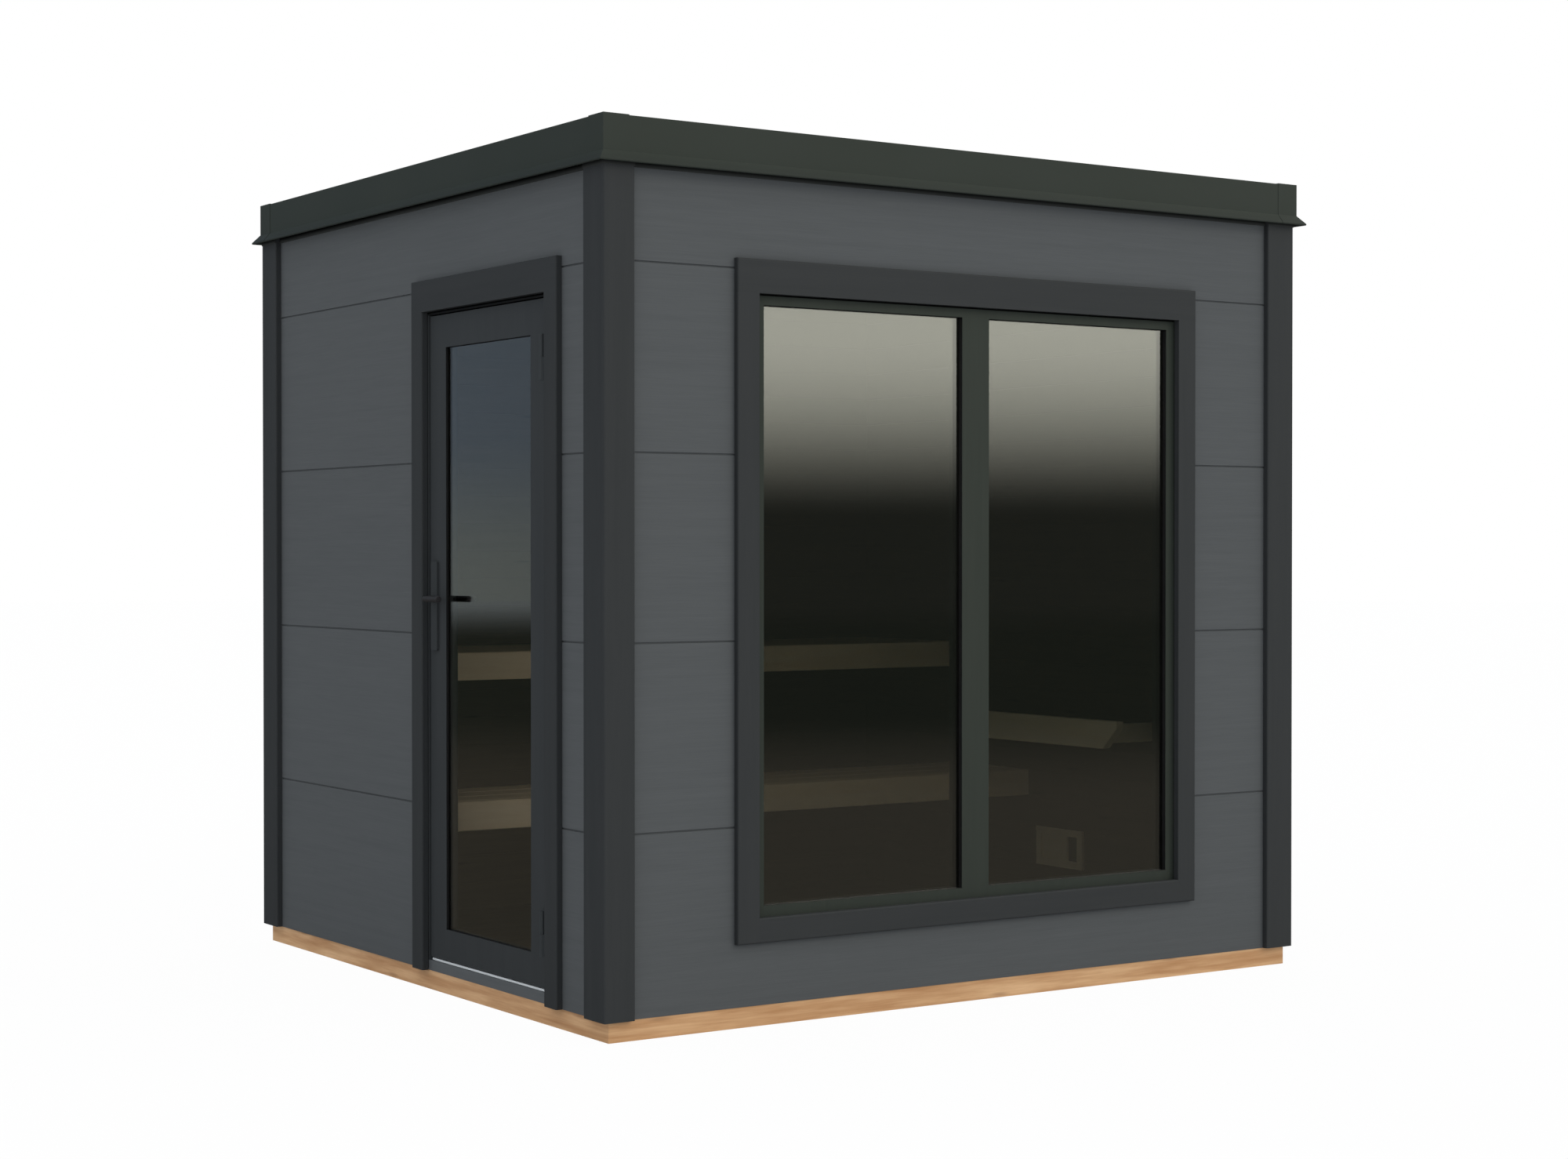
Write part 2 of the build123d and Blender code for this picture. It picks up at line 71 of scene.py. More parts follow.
def mixColours(tree, factor, first, second, blend="MIX"):
    node = addNode(tree, "ShaderNodeMix", data_type="RGBA", blend_type=blend)
    for place, value in ((0, factor), (6, first), (7, second)):
        if isinstance(value, (int, float)):
            node.inputs[place].default_value = value
        elif isinstance(value, tuple):
            node.inputs[place].default_value = (*value, 1.0)
        else:
            tree.links.new(value, node.inputs[place])
    return node.outputs[2]


def rampNode(tree, factor, stops):
    node = addNode(tree, "ShaderNodeValToRGB")
    elements = node.color_ramp.elements
    while len(elements) < len(stops):
        elements.new(1.0)
    for element, (position, colour) in zip(elements, stops):
        element.position = position
        element.color = (*colour, 1.0)
    tree.links.new(factor, node.inputs[0])
    return node.outputs[0]


def noiseNode(tree, vector, scale, detail, roughness=0.5):
    node = addNode(tree, "ShaderNodeTexNoise")
    node.inputs["Scale"].default_value = scale
    node.inputs["Detail"].default_value = detail
    node.inputs["Roughness"].default_value = roughness
    tree.links.new(vector, node.inputs["Vector"])
    return node.outputs[0]


def objectPlace(tree, scale=(1, 1, 1), shift=(0, 0, 0)):
    coords = addNode(tree, "ShaderNodeTexCoord")
    mapping = addNode(tree, "ShaderNodeMapping")
    mapping.inputs["Location"].default_value = shift
    mapping.inputs["Scale"].default_value = scale
    tree.links.new(coords.outputs["Object"], mapping.inputs["Vector"])
    return mapping.outputs["Vector"]


def softStep(tree, value, start, end):
    # Nought before the start, one past the end, and smooth between them
    node = addNode(tree, "ShaderNodeMapRange", interpolation_type="SMOOTHSTEP")
    node.inputs["From Min"].default_value = start
    node.inputs["From Max"].default_value = end
    tree.links.new(value, node.inputs["Value"])
    return node.outputs["Result"]


def plainMirror(tree, path):
    # One for what gloss and glass show straight away, nought for light on its way to a matt surface
    mirrored = mathNode(tree, "MAXIMUM", path.outputs["Is Glossy Ray"], path.outputs["Is Transmission Ray"])
    straight = mathNode(tree, "LESS_THAN", path.outputs["Diffuse Depth"], 0.5)
    return mathNode(tree, "MULTIPLY", mirrored, straight)


def newGroup(name, inputs, outputs):
    group = bpy.data.node_groups.new(name, "ShaderNodeTree")
    for label, kind, value in inputs:
        socket = group.interface.new_socket(name=label, in_out="INPUT", socket_type=kind)
        if value is not None:
            socket.default_value = value
    for label in outputs:
        group.interface.new_socket(name=label, in_out="OUTPUT", socket_type="NodeSocketFloat")
    start = addNode(group, "NodeGroupInput")
    end = addNode(group, "NodeGroupOutput")
    return group, start, end


# Grain of a planed board: the vector is already stretched along the board
grainGroup, grainIn, grainOut = newGroup(
    "boardGrain",
    [("Vector", "NodeSocketVector", None), ("Wave", "NodeSocketFloat", 0.6)],
    ["Tone", "Fibre"],
)
drift = noiseNode(grainGroup, grainIn.outputs["Vector"], 0.55, 2.0)
sway = mathNode(grainGroup, "MULTIPLY", mathNode(grainGroup, "SUBTRACT", drift, 0.5), grainIn.outputs["Wave"])
swayed = addNode(grainGroup, "ShaderNodeVectorMath", operation="ADD")
grainGroup.links.new(grainIn.outputs["Vector"], swayed.inputs[0])
grainGroup.links.new(sway, swayed.inputs[1])
tone = noiseNode(grainGroup, swayed.outputs[0], 1.0, 3.0, 0.55)
fibre = noiseNode(grainGroup, swayed.outputs[0], 4.5, 4.0, 0.62)
grainGroup.links.new(tone, grainOut.inputs["Tone"])
grainGroup.links.new(fibre, grainOut.inputs["Fibre"])

# Knots: a few soft eyes, spread along upright faces
knotGroup, knotIn, knotOut = newGroup(
    "boardKnots",
    [
        ("Vector", "NodeSocketVector", None),
        ("Along", "NodeSocketFloat", 1.6),
        ("Across", "NodeSocketFloat", 9.0),
        ("Size", "NodeSocketFloat", 0.1),
    ],
    ["Knot"],
)
knotPlace = addNode(knotGroup, "ShaderNodeSeparateXYZ")
knotGroup.links.new(knotIn.outputs["Vector"], knotPlace.inputs[0])
knotFlat = addNode(knotGroup, "ShaderNodeCombineXYZ")
knotRun = mathNode(knotGroup, "ADD", knotPlace.outputs["X"], knotPlace.outputs["Y"])
knotGroup.links.new(mathNode(knotGroup, "MULTIPLY", knotRun, knotIn.outputs["Along"]), knotFlat.inputs["X"])
knotGroup.links.new(
    mathNode(knotGroup, "MULTIPLY", knotPlace.outputs["Z"], knotIn.outputs["Across"]), knotFlat.inputs["Y"],
)
cells = addNode(knotGroup, "ShaderNodeTexVoronoi", feature="F1", voronoi_dimensions="2D")
cells.inputs["Scale"].default_value = 1.0
knotGroup.links.new(knotFlat.outputs[0], cells.inputs["Vector"])
knotFade = addNode(knotGroup, "ShaderNodeMapRange", interpolation_type="SMOOTHSTEP")
knotGroup.links.new(cells.outputs["Distance"], knotFade.inputs["Value"])
knotGroup.links.new(knotIn.outputs["Size"], knotFade.inputs["From Max"])
knotFade.inputs["To Min"].default_value = 1.0
knotFade.inputs["To Max"].default_value = 0.0
knotGroup.links.new(knotFade.outputs["Result"], knotOut.inputs["Knot"])

# Fine mottle of coated sheet, rubber and steel
mottleGroup, mottleIn, mottleOut = newGroup(
    "coatMottle",
    [("Vector", "NodeSocketVector", None)],
    ["Cloud", "Speck"],
)
mottleGroup.links.new(noiseNode(mottleGroup, mottleIn.outputs["Vector"], 3.0, 4.0), mottleOut.inputs["Cloud"])
mottleGroup.links.new(noiseNode(mottleGroup, mottleIn.outputs["Vector"], 420.0, 2.0), mottleOut.inputs["Speck"])
print("garden sauna: shared grain, knots and mottle made")


surface = {"grainDepth": 0.001, "speckDepth": 0.0006, "grainDuller": 0.08, "grainShinier": 0.06, "coatSpread": 0.07}


def startMaterial(name, finish):
    material = bpy.data.materials.new(name)
    material.use_nodes = True
    tree = material.node_tree
    shader = tree.nodes["Principled BSDF"]
    shader.inputs["Roughness"].default_value = finish["roughness"]
    shader.inputs["Specular IOR Level"].default_value = finish.get("shine", 0.3)
    shader.inputs["Metallic"].default_value = finish.get("metallic", 0.0)
    return material, tree, shader


def bumpInto(tree, shader, height, strength, depth):
    bump = addNode(tree, "ShaderNodeBump")
    bump.inputs["Strength"].default_value = strength
    bump.inputs["Distance"].default_value = depth
    tree.links.new(height, bump.inputs["Height"])
    tree.links.new(bump.outputs["Normal"], shader.inputs["Normal"])


def roughInto(tree, shader, value, low, high):
    spread = addNode(tree, "ShaderNodeMapRange")
    spread.inputs["To Min"].default_value = low
    spread.inputs["To Max"].default_value = high
    tree.links.new(value, spread.inputs["Value"])
    tree.links.new(spread.outputs["Result"], shader.inputs["Roughness"])


def woodMaterial(name, finish):
    # Planed board: two tones by the grain, a fibre bump, and knots where they are asked for
    material, tree, shader = startMaterial(name, finish)
    grain = addNode(tree, "ShaderNodeGroup", node_tree=grainGroup)
    grain.inputs["Wave"].default_value = finish["wave"]
    tree.links.new(objectPlace(tree, finish["stretch"], finish.get("shift", (0, 0, 0))), grain.inputs["Vector"])
    share = finish["fibreShare"]
    blend = mathNode(
        tree,
        "MULTIPLY_ADD",
        grain.outputs["Fibre"],
        share,
        mathNode(tree, "MULTIPLY", grain.outputs["Tone"], 1.0 - share),
    )
    colour = rampNode(tree, blend, [(finish["spread"][0], finish["dark"]), (finish["spread"][1], finish["light"])])
    if "streaks" in finish:
        # Long soft streaks of paler and deeper wood
        streak = noiseNode(tree, objectPlace(tree, finish["streaks"]["stretch"]), 1.0, 3.0)
        shade = rampNode(tree, streak, [(0.36, finish["streaks"]["deep"]), (0.64, finish["streaks"]["pale"])])
        colour = mixColours(tree, 1.0, colour, shade, "MULTIPLY")
    if "courses" in finish:
        # Each panel course is a little lighter or darker than the next
        place = addNode(tree, "ShaderNodeSeparateXYZ")
        tree.links.new(objectPlace(tree), place.inputs[0])
        course = mathNode(
            tree,
            "FLOOR",
            mathNode(
                tree,
                "DIVIDE",
                mathNode(tree, "SUBTRACT", place.outputs["Z"], finish["courses"]["firstLine"]),
                finish["courses"]["height"],
            ),
        )
        chance = addNode(tree, "ShaderNodeTexWhiteNoise", noise_dimensions="1D")
        tree.links.new(course, chance.inputs["W"])
        shade = rampNode(
            tree, chance.outputs["Value"], [(0.0, finish["courses"]["low"]), (1.0, finish["courses"]["high"])],
        )
        colour = mixColours(tree, 1.0, colour, shade, "MULTIPLY")
    if "knots" in finish:
        knots = addNode(tree, "ShaderNodeGroup", node_tree=knotGroup)
        knots.inputs["Along"].default_value = finish["knots"]["along"]
        knots.inputs["Across"].default_value = finish["knots"]["across"]
        knots.inputs["Size"].default_value = finish["knots"]["size"]
        tree.links.new(objectPlace(tree), knots.inputs["Vector"])
        strength = mathNode(tree, "MULTIPLY", knots.outputs["Knot"], finish["knots"]["strength"])
        colour = mixColours(tree, strength, colour, finish["knots"]["colour"])
    tree.links.new(colour, shader.inputs["Base Color"])
    shinier, duller = finish["roughness"] - surface["grainShinier"], finish["roughness"] + surface["grainDuller"]
    roughInto(tree, shader, grain.outputs["Fibre"], shinier, duller)
    bumpInto(tree, shader, grain.outputs["Fibre"], finish["bump"], surface["grainDepth"])
    return material


def coatMaterial(name, finish):
    # Coated or bare metal and rubber: a slow cloud in tone, and a fine speck in the surface
    material, tree, shader = startMaterial(name, finish)
    mottle = addNode(tree, "ShaderNodeGroup", node_tree=mottleGroup)
    tree.links.new(objectPlace(tree, finish.get("stretch", (1, 1, 1))), mottle.inputs["Vector"])
    colour = rampNode(tree, mottle.outputs["Cloud"], [(0.3, finish["dark"]), (0.7, finish["light"])])
    if "paintedShade" in finish:
        # Painted shade: deeper in tone past a height
        place = addNode(tree, "ShaderNodeSeparateXYZ")
        tree.links.new(objectPlace(tree), place.inputs[0])
        climb = softStep(tree, place.outputs["Z"], finish["paintedShade"]["low"], finish["paintedShade"]["high"])
        shade = rampNode(tree, climb, [(0.0, finish["paintedShade"]["tone"]), (1.0, (1.0, 1.0, 1.0))])
        colour = mixColours(tree, 1.0, colour, shade, "MULTIPLY")
    tree.links.new(colour, shader.inputs["Base Color"])
    shinier, duller = finish["roughness"] - surface["coatSpread"], finish["roughness"] + surface["coatSpread"]
    roughInto(tree, shader, mottle.outputs["Cloud"], shinier, duller)
    bumpInto(tree, shader, mottle.outputs["Speck"], finish["bump"], surface["speckDepth"])
    return material


panelFinish = {
    "roughness": 0.7, "shine": 0.1, "stretch": (1.6, 1.6, 60.0), "wave": 1.4, "fibreShare": 0.6,
    "spread": (0.32, 0.68), "dark": (0.078, 0.083, 0.086), "light": (0.090, 0.095, 0.098), "bump": 0.3,
}
panelStain = woodMaterial("panelStain", {
    **panelFinish,
    "courses": {"firstLine": 0.541, "height": 0.4995, "low": (0.985, 0.985, 0.985), "high": (1.015, 1.015, 1.015)},
})
sillStain = woodMaterial("sillStain", {**panelFinish, "dark": (0.092, 0.098, 0.102), "light": (0.105, 0.111, 0.115)})
trimFinish = {
    "roughness": 0.6, "shine": 0.1, "wave": 0.8, "fibreShare": 0.5, "spread": (0.32, 0.68),
    "dark": (0.0315, 0.034, 0.0355), "light": (0.0365, 0.0385, 0.040), "bump": 0.2,
}
trimUpright = woodMaterial("trimPaintUpright", {**trimFinish, "stretch": (34.0, 34.0, 1.3)})
trimLevel = woodMaterial("trimPaintLevel", {**trimFinish, "stretch": (1.3, 1.3, 34.0)})
windowPaint = woodMaterial("windowPaint", {
    **trimFinish, "roughness": 0.52, "stretch": (30.0, 30.0, 1.2),
    "dark": (0.030, 0.036, 0.030), "light": (0.035, 0.041, 0.034),
})
doorPaint = woodMaterial("doorPaint", {
    **trimFinish, "roughness": 0.52, "stretch": (30.0, 30.0, 1.2),
    "dark": (0.035, 0.038, 0.040), "light": (0.040, 0.043, 0.045),
})
# Painted shade: below the kink of the drip the coat is deeper in tone, so the upward-facing flare reads no lighter
# than the fascia
roofSheet = coatMaterial("roofEdgeCoat", {
    "roughness": 0.5, "shine": 0.1, "dark": (0.0295, 0.0355, 0.0295), "light": (0.033, 0.039, 0.033), "bump": 0.05,
    "paintedShade": {"low": 2.296, "high": 2.322, "tone": (0.80, 0.80, 0.82)},
})
membraneRubber = coatMaterial("roofMembrane", {
    "roughness": 0.8, "shine": 0.2, "dark": (0.022, 0.022, 0.023), "light": (0.034, 0.034, 0.035), "bump": 0.5,
})
baseTimber = woodMaterial("baseTimber", {
    "roughness": 0.62, "shine": 0.25, "stretch": (2.4, 2.4, 46.0), "wave": 0.9, "fibreShare": 0.35,
    "spread": (0.34, 0.66), "dark": (0.49, 0.257, 0.114), "light": (0.665, 0.40, 0.205), "bump": 0.25,
    "streaks": {"stretch": (3.4, 3.4, 40.0), "deep": (0.86, 0.82, 0.78), "pale": (1.10, 1.17, 1.25)},
    "knots": {"along": 1.6, "across": 9.0, "size": 0.08, "strength": 0.5, "colour": (0.27, 0.14, 0.07)},
})
paleWood = {
    "roughness": 0.6, "shine": 0.25, "wave": 0.7, "fibreShare": 0.4, "spread": (0.3, 0.7),
    "dark": (0.66, 0.50, 0.31), "light": (0.80, 0.65, 0.45), "bump": 0.25,
}
benchWood = woodMaterial("benchWood", {
    **paleWood, "stretch": (1.5, 34.0, 34.0), "dark": (0.86, 0.68, 0.44), "light": (0.95, 0.80, 0.57),
})
guardWood = woodMaterial("guardWood", {
    **paleWood, "stretch": (12.0, 1.5, 34.0), "dark": (0.88, 0.73, 0.48), "light": (0.96, 0.85, 0.64),
})
liningWood = woodMaterial("liningWood", {
    **paleWood, "stretch": (1.4, 1.4, 30.0), "dark": (0.040, 0.028, 0.017), "light": (0.066, 0.047, 0.029),
    "knots": {"along": 1.2, "across": 10.6, "size": 0.07, "strength": 0.8, "colour": (0.020, 0.013, 0.008)},
})
ceilingWood = woodMaterial("ceilingWood", {
    **paleWood, "stretch": (1.4, 30.0, 30.0), "dark": (0.040, 0.028, 0.017), "light": (0.066, 0.047, 0.029),
})
floorWood = woodMaterial("floorWood", {
    **paleWood, "stretch": (1.4, 26.0, 26.0), "dark": (0.047, 0.033, 0.021), "light": (0.078, 0.056, 0.036),
})
gasketRubber = coatMaterial("gasketRubber", {
    "roughness": 0.55, "shine": 0.2, "dark": (0.006, 0.006, 0.007), "light": (0.010, 0.010, 0.011), "bump": 0.1,
})
shadowBlack = coatMaterial("shadowBlack", {
    "roughness": 0.9, "shine": 0.0, "dark": (0.0012, 0.0012, 0.0012), "light": (0.002, 0.002, 0.002), "bump": 0.2,
})
# Painted shadow for the band under the roof's drip: dark all over, and near black towards its top edge
dripShadowPaint = coatMaterial("dripShadowPaint", {
    "roughness": 0.9, "shine": 0.0, "dark": (0.038, 0.040, 0.038), "light": (0.044, 0.046, 0.044), "bump": 0.2,
    "paintedShade": {"low": 2.299, "high": 2.281, "tone": (0.03, 0.035, 0.03)},
})
hingeCoat = coatMaterial("hingeCoat", {
    "roughness": 0.5, "shine": 0.12, "dark": (0.034, 0.038, 0.040), "light": (0.039, 0.043, 0.046), "bump": 0.05,
})
handleCoat = coatMaterial("handleCoat", {
    "roughness": 0.5, "shine": 0.15, "dark": (0.024, 0.023, 0.024), "light": (0.030, 0.028, 0.030), "bump": 0.05,
})
plateCoat = coatMaterial("plateCoat", {
    "roughness": 0.55, "shine": 0.1, "dark": (0.033, 0.036, 0.038), "light": (0.038, 0.041, 0.043), "bump": 0.05,
})
screwSteel = coatMaterial("screwSteel", {
    "roughness": 0.35, "shine": 0.5, "metallic": 0.8, "dark": (0.12, 0.12, 0.125), "light": (0.18, 0.18, 0.185),
    "bump": 0.05,
})
sillStrip = coatMaterial("sillStripMetal", {
    "roughness": 0.45, "shine": 0.5, "metallic": 0.05, "stretch": (1, 0.05, 1),
    "dark": (0.84, 0.87, 0.88), "light": (0.93, 0.95, 0.96), "bump": 0.15,
})


def glassMaterial(name, tint, daylight, ior):
    # Solar-control glazing: dark to look through, with a strong plain reflection, and clearer to daylight
    material, tree, shader = startMaterial(name, {"roughness": 0.0, "shine": 0.5})
    path = addNode(tree, "ShaderNodeLightPath")
    inside = mathNode(tree, "GREATER_THAN", path.outputs["Diffuse Depth"], 0.5)
    tree.links.new(mixColours(tree, inside, tint, daylight), shader.inputs["Base Color"])
    shader.inputs["Transmission Weight"].default_value = 1.0
    shader.inputs["IOR"].default_value = ior
    return material


windowGlass = glassMaterial("windowGlazing", (0.42, 0.42, 0.37), (0.93, 0.92, 0.89), 2.25)
doorGlass = glassMaterial("doorGlazing", (1.0, 0.99, 0.93), (1.0, 1.0, 1.0), 1.6)
print("garden sauna: finishes made")


def dress(material, *names):
    for name in names:
        for place in nodes[name].material_slots:
            place.material = material


dress(
    panelStain,
    "front_wall", "back_wall", "right_wall", "left_wall_front", "left_wall_back", "left_wall_over_door",
)
dress(sillStain, "door_threshold")
dress(windowPaint, "window_frame")
dress(doorPaint, "door_frame", "door_leaf")
dress(roofSheet, "fascia_front", "fascia_back", "fascia_left", "fascia_right", "fascia_corner_caps")
dress(membraneRubber, "roof_membrane")
dress(ceilingWood, "roof_deck")
dress(baseTimber, "base_frame")
dress(floorWood, "floor_deck")
dress(guardWood, "heater_guard", "air_vent")
dress(windowGlass, "window_glass_left", "window_glass_right")
dress(doorGlass, "door_glass")
dress(hingeCoat, "hinge_frame_halves", "hinge_leaf_halves")
dress(handleCoat, "door_lever")
dress(plateCoat, "handle_plates")
dress(sillStrip, "threshold_strip")


# Pieces made here are bevelled boards, strips and small fittings

closeEnough = 0.00001


def sidesOf(edge, low, high):
    # Names of the two sides of a board that an edge lies on
    return {
        label + letter
        for axis, letter in enumerate("XYZ")
        for label, corner in (("low", low), ("high", high))
        if all(abs(vert.co[axis] - corner[axis]) < closeEnough for vert in edge.verts)
    }


def boardInto(bm, low, high, ease, rounds=2, outer=None, sharp=()):
    # A board with eased edges, or with only those of its outer side that don't end on a sharp side
    low, high = Vector(low), Vector(high)
    verts = bmesh.ops.create_cube(bm, size=1.0)["verts"]
    bmesh.ops.scale(bm, vec=high - low, verts=verts)
    bmesh.ops.translate(bm, vec=(low + high) / 2, verts=verts)
    edges = list({edge for vert in verts for edge in vert.link_edges})
    if outer:
        edges = [
            edge for edge in edges if outer in sidesOf(edge, low, high) and not sidesOf(edge, low, high) & set(sharp)
        ]
    bmesh.ops.bevel(
        bm, geom=edges, offset=ease, offset_type="OFFSET", affect="EDGES", segments=rounds, profile=0.5, material=-1,
    )


def finishPiece(name, bm, material, body="building", replaced=()):
    bmesh.ops.recalc_face_normals(bm, faces=bm.faces)
    mesh = bpy.data.meshes.new(name)
    bm.to_mesh(mesh)
    bm.free()
    mesh.materials.append(material)
    piece = bpy.data.objects.new(name, mesh)
    scene.collection.objects.link(piece)
    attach(piece, body)
    if replaced:
        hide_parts(*replaced)
    return piece


# Outside boards: posts of two boards each, and the trim round window and door, with rounded outer edges
boards = {"thickness": 0.019, "rightThickness": 0.013, "ease": 0.0045, "rounds": 4, "seam": 0.0002}
ends = ("lowZ", "highZ")


def cornerPost(name, side, depth):
    low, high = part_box(name)
    thick, seam = boards["thickness"], boards["seam"]
    outX, faceX = (low.x, "lowX") if side < 0 else (high.x, "highX")
    outY, faceY, farY = (low.y, "lowY", high.y) if depth < 0 else (high.y, "highY", low.y)
    inX = outX - side * (thick if side < 0 else boards["rightThickness"])
    inY = outY - depth * thick
    # The board on the front or back, then the one on the side behind its edge
    bm = bmesh.new()
    for runX, runY, outer, sharp in (
        ((low.x, high.x), (outY, inY), faceY, ends),
        ((outX, inX), (inY - depth * seam, farY), faceX, (*ends, faceY)),
    ):
        boardInto(
            bm,
            (min(runX), min(runY), low.z),
            (max(runX), max(runY), high.z),
            boards["ease"],
            boards["rounds"],
            outer,
            sharp,
        )
    finishPiece(name.replace("corner_post", "post_boards"), bm, trimUpright, replaced=(name,))


cornerPost("corner_post_front_left", -1, -1)
cornerPost("corner_post_front_right", 1, -1)
cornerPost("corner_post_back_left", -1, 1)
cornerPost("corner_post_back_right", 1, 1)

for name, material, outer, sharp in (
    ("window_trim_left", trimUpright, "lowY", ("highZ", "highX")),
    ("window_trim_right", trimUpright, "lowY", ("highZ", "lowX")),
    ("window_trim_top", trimLevel, "lowY", ("lowZ",)),
    ("window_trim_bottom", trimLevel, "lowY", ("lowX", "highX")),
    ("door_trim_hinge_side", trimUpright, "lowX", ends),
    ("door_trim_latch_side", trimUpright, "lowX", ends),
    ("door_trim_top", trimLevel, "lowX", ("lowZ",)),
):
    low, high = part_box(name)
    bm = bmesh.new()
    boardInto(bm, low, high, boards["ease"], boards["rounds"], outer, sharp)
    finishPiece(name + "_board", bm, material, replaced=(name,))
print("garden sauna: outside boards made")

# Heads of both openings: black strips as painted shadow under the trim, dark rubber over the door frame's head as
# painted shade from the trim, and a seal that narrows the gap over the leaf
heads = {
    "windowHeadShadow": 0.0036, "doorHeadShadow": 0.0037, "proud": 0.0015, "lip": 0.0023, "lipDepth": 0.012, "leafGap": 0.006,
    "ease": 0.0003,
}
leafLow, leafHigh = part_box("door_leaf")
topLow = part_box("window_trim_top")[0]
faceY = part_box("window_frame")[0].y
bm = bmesh.new()
boardInto(
    bm,
    (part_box("window_trim_left")[1].x, faceY - heads["proud"], topLow.z - heads["windowHeadShadow"]),
    (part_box("window_trim_right")[0].x, faceY, topLow.z),
    heads["ease"],
)
finishPiece("window_head_shadow_strip", bm, shadowBlack)

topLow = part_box("door_trim_top")[0]
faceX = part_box("door_frame")[0].x
runLow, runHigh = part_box("door_trim_hinge_side")[1].y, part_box("door_trim_latch_side")[0].y
stripLow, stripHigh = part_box("threshold_strip")
blackLow = topLow.z - heads["doorHeadShadow"]
innerTop = leafHigh.z + heads["leafGap"]
bm = bmesh.new()
boardInto(bm, (faceX - heads["proud"], runLow, blackLow), (faceX, runHigh, topLow.z), heads["ease"])
finishPiece("door_head_shadow_strip", bm, shadowBlack)

# Dark rubber over the frame's head, between the black strip and the gap over the leaf, is painted shade from the trim;
# the lip under it is the seal
bm = bmesh.new()
boardInto(bm, (faceX - heads["proud"] / 2, runLow, innerTop), (faceX, runHigh, blackLow), heads["ease"])
boardInto(
    bm,
    (faceX - heads["proud"] / 2, stripLow.y, innerTop - heads["lip"]),
    (faceX + heads["lipDepth"], stripHigh.y, innerTop),
    heads["ease"],
)
finishPiece("door_head_shade_and_seal", bm, gasketRubber)

# Painted shadow: a dark band on walls and posts, just under the drip of the roof edge, where the drip casts its shadow
dripShadow = {"low": 0.033, "high": 0.012, "proud": 0.005, "onPost": 0.0012, "ease": 0.0003}
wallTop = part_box("front_wall")[1].z
dripShadowLow, dripShadowHigh = wallTop - dripShadow["low"], wallTop - dripShadow["high"]
leftLow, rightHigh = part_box("corner_post_front_left"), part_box("corner_post_front_right")
backLeft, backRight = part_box("corner_post_back_left"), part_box("corner_post_back_right")
wallLow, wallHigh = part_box("front_wall")[0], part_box("back_wall")[1]
bm = bmesh.new()
for lowX, highX, lowY, highY in (
    (leftLow[1].x, rightHigh[0].x, wallLow.y - dripShadow["proud"], wallLow.y),
    (backLeft[1].x, backRight[0].x, wallHigh.y, wallHigh.y + dripShadow["proud"]),
    (wallLow.x - dripShadow["proud"], wallLow.x, leftLow[1].y, backLeft[0].y),
    (wallHigh.x, wallHigh.x + dripShadow["proud"], rightHigh[1].y, backRight[0].y),
    (leftLow[0].x, leftLow[1].x, leftLow[0].y - dripShadow["onPost"], leftLow[0].y),
    (leftLow[0].x - dripShadow["onPost"], leftLow[0].x, leftLow[0].y, leftLow[1].y),
    (rightHigh[0].x, rightHigh[1].x, rightHigh[0].y - dripShadow["onPost"], rightHigh[0].y),
    (rightHigh[1].x, rightHigh[1].x + dripShadow["onPost"], rightHigh[0].y, rightHigh[1].y),
    (backLeft[0].x, backLeft[1].x, backLeft[1].y, backLeft[1].y + dripShadow["onPost"]),
    (backLeft[0].x - dripShadow["onPost"], backLeft[0].x, backLeft[0].y, backLeft[1].y),
    (backRight[0].x, backRight[1].x, backRight[1].y, backRight[1].y + dripShadow["onPost"]),
    (backRight[1].x, backRight[1].x + dripShadow["onPost"], backRight[0].y, backRight[1].y),
):
    boardInto(bm, (lowX, lowY, dripShadowLow), (highX, highY, dripShadowHigh), dripShadow["ease"])
finishPiece("drip_shadow_strip", bm, dripShadowPaint)
print("garden sauna: head and vent strips made")

# Glazing: a black gasket in the rebate on both sides of each pane
gasket = {"bite": 0.010, "bar": 0.0006, "ease": 0.0002, "hold": 0.0015, "inside": 0.003}


def gasketRing(bm, axis, low, high, front, back):
    # Four bars round a pane seen along the axis, from its front depth to its back depth
    bar = gasket["bar"]
    for lowU, highU, lowZ, highZ in (
        (low[0], high[0], low[1], low[1] + bar),
        (low[0], high[0], high[1] - bar, high[1]),
        (low[0], low[0] + bar, low[1] + bar, high[1] - bar),
        (high[0] - bar, high[0], low[1] + bar, high[1] - bar),
    ):
        if axis == "y":
            boardInto(bm, (lowU, front, lowZ), (highU, back, highZ), gasket["ease"])
        else:
            boardInto(bm, (front, lowU, lowZ), (back, highU, highZ), gasket["ease"])


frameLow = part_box("window_frame")[0]
for name in ("window_glass_left", "window_glass_right"):
    low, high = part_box(name)
    bite = gasket["bite"]
    spanLow, spanHigh = (low.x + bite, low.z + bite), (high.x - bite, high.z - bite)
    bm = bmesh.new()
    gasketRing(bm, "y", spanLow, spanHigh, frameLow.y + gasket["hold"], low.y)
    gasketRing(bm, "y", spanLow, spanHigh, high.y, high.y + gasket["inside"])
    finishPiece(name.replace("glass", "gasket"), bm, gasketRubber)

low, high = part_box("door_glass")
spanLow = (low.y + gasket["bite"], low.z + gasket["bite"])
spanHigh = (high.y - gasket["bite"], high.z - gasket["bite"])
bm = bmesh.new()
gasketRing(bm, "x", spanLow, spanHigh, leafLow.x + gasket["hold"], low.x)
gasketRing(bm, "x", spanLow, spanHigh, high.x, high.x + gasket["inside"])
finishPiece("door_gasket", bm, gasketRubber, body="door")
print("garden sauna: gaskets made")

